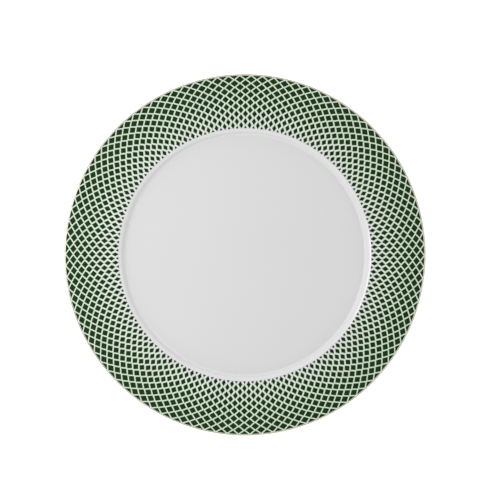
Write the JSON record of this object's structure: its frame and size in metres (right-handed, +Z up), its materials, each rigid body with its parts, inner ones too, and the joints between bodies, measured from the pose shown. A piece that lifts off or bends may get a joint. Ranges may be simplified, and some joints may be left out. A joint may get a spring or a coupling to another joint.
{
  "type": "dinner plate",
  "caption": "Round china dinner plate: flat well, coved wall and broad rim covered by a staggered lattice of enamel diamonds, with a fine gilt lip and a bare foot ring.",
  "frame": {"origin": "on the table, under the middle of the plate, level with the bottom of the foot ring", "axes": "+Z up, along the axis that the plate is turned about; +X to the right and +Y away, as a person at the table sees it"},
  "size_m": [0.27, 0.27, 0.017],
  "materials": {
    "bisque": "matte",
    "white_glaze": "gloss",
    "green_enamel": "gloss",
    "gilding": "satin"
  },
  "bodies": {
    "root": {"porcelain_body": "bisque", "glaze_coat": "white_glaze", "foot_recess_glaze": "white_glaze", "lattice_row_00": "green_enamel", "lattice_row_01": "green_enamel", "lattice_row_02": "green_enamel", "lattice_row_03": "green_enamel", "lattice_row_04": "green_enamel", "lattice_row_05": "green_enamel", "lattice_row_06": "green_enamel", "lattice_row_07": "green_enamel", "lattice_row_08": "green_enamel", "lattice_row_09": "green_enamel", "lattice_row_10": "green_enamel", "lattice_row_11": "green_enamel", "lattice_row_12": "green_enamel", "lattice_row_13": "green_enamel", "lattice_row_14": "green_enamel", "gilt_lip_band": "gilding"}
  },
  "joints": []
}
